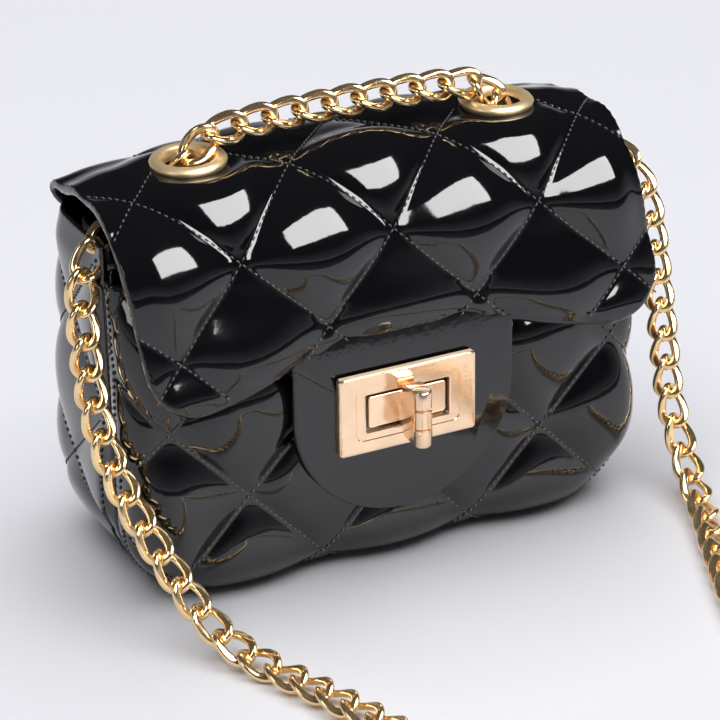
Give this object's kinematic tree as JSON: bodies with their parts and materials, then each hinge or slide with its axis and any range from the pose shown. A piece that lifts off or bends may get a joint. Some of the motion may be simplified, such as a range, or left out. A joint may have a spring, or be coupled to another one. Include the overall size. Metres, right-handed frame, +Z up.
{
  "type": "crossbody purse",
  "caption": "Small quilted flap purse with a turn-lock tab, two eyelets and a metal chain strap worn across the body.",
  "frame": {"origin": "bottom centre of the bag, on the floor", "axes": "+Z up, -Y out of the front of the bag, +X to the right seen from the front"},
  "size_m": [0.1817, 0.2956, 0.1283],
  "materials": {
    "patent_pvc": "high gloss patent, soft PVC",
    "wadding": "soft fibre wadding",
    "lining_cloth": "plain woven cloth",
    "board": "plain board",
    "gold": "bright polished plating",
    "pink_gold": "bright polished plating",
    "steel": "plain sheet"
  },
  "bodies": {
    "root": {"front_shell": "patent_pvc", "back_shell": "patent_pvc", "side_gusset": "patent_pvc", "front_pad": "wadding", "back_pad": "wadding", "lining": "lining_cloth", "base_board": "board", "lock_base_plate": "pink_gold", "lock_backing_plate": "steel", "detent_spring": "steel", "strap_left_entry": "gold", "strap_right_entry": "gold"},
    "knob": {"turn_knob": "pink_gold", "knob_retainer": "steel"},
    "flap": {"flap_shell": "patent_pvc", "flap_pad": "wadding", "flap_lining": "lining_cloth", "closure_tab": "patent_pvc", "lock_frame": "pink_gold", "lock_frame_back": "steel", "lock_frame_prongs": "steel", "eyelet_left": "gold", "eyelet_right": "gold", "eyelet_washer_left": "gold", "eyelet_washer_right": "gold", "dive_links_left": "gold", "dive_links_right": "gold"},
    "chain_bridge": {"chain_bridge": "gold"},
    "strap_left_hang": {"strap_left_hang": "gold"},
    "strap_left_floor_1": {"strap_left_floor_1": "gold"},
    "strap_left_floor_2": {"strap_left_floor_2": "gold"},
    "strap_left_floor_3": {"strap_left_floor_3": "gold"},
    "strap_right_hang": {"strap_right_hang": "gold"},
    "strap_right_floor_1": {"strap_right_floor_1": "gold"},
    "strap_right_floor_2": {"strap_right_floor_2": "gold"},
    "strap_right_floor_3": {"strap_right_floor_3": "gold"}
  },
  "joints": [
    {"name": "flap_open", "type": "hinge", "parent": "root", "child": "flap", "pos_m": [0, 0.024, 0.1128], "axis": [-1, 0, 0], "range_deg": [0, 150]},
    {"name": "knob_turn", "type": "hinge", "parent": "root", "child": "knob", "pos_m": [0, -0.038, 0.05], "axis": [0, -1, 0], "range_deg": [0, 90]},
    {"name": "bridge_rock", "type": "hinge", "parent": "flap", "child": "chain_bridge", "pos_m": [0.03952, 0, 0.12296], "axis": [1, 0, 0], "range_deg": [-12, 12]},
    {"name": "strap_left_lift", "type": "hinge", "parent": "root", "child": "strap_left_hang", "pos_m": [-0.06832, -0.00374, 0.10419], "axis": [0, 1, 0], "range_deg": [0, 30]},
    {"name": "strap_left_bend_1", "type": "hinge", "parent": "strap_left_hang", "child": "strap_left_floor_1", "pos_m": [-0.05812, -0.07375, 0.0036], "axis": [0, 0, -1], "range_deg": [0, 20]},
    {"name": "strap_left_bend_2", "type": "hinge", "parent": "strap_left_floor_1", "child": "strap_left_floor_2", "pos_m": [-0.03583, -0.14035, 0.0036], "axis": [0, 0, -1], "range_deg": [0, 20]},
    {"name": "strap_left_bend_3", "type": "hinge", "parent": "strap_left_floor_2", "child": "strap_left_floor_3", "pos_m": [-0.03109, -0.21043, 0.0036], "axis": [0, 0, -1], "range_deg": [0, 20]},
    {"name": "strap_right_lift", "type": "hinge", "parent": "root", "child": "strap_right_hang", "pos_m": [0.07025, -0.00404, 0.10471], "axis": [0, -1, 0], "range_deg": [0, 30]},
    {"name": "strap_right_bend_1", "type": "hinge", "parent": "strap_right_hang", "child": "strap_right_floor_1", "pos_m": [0.08049, -0.06455, 0.0036], "axis": [0, 0, 1], "range_deg": [0, 20]},
    {"name": "strap_right_bend_2", "type": "hinge", "parent": "strap_right_floor_1", "child": "strap_right_floor_2", "pos_m": [0.05753, -0.13101, 0.0036], "axis": [0, 0, 1], "range_deg": [0, 20]},
    {"name": "strap_right_bend_3", "type": "hinge", "parent": "strap_right_floor_2", "child": "strap_right_floor_3", "pos_m": [0.04563, -0.20037, 0.0036], "axis": [0, 0, 1], "range_deg": [0, 20]}
  ]
}
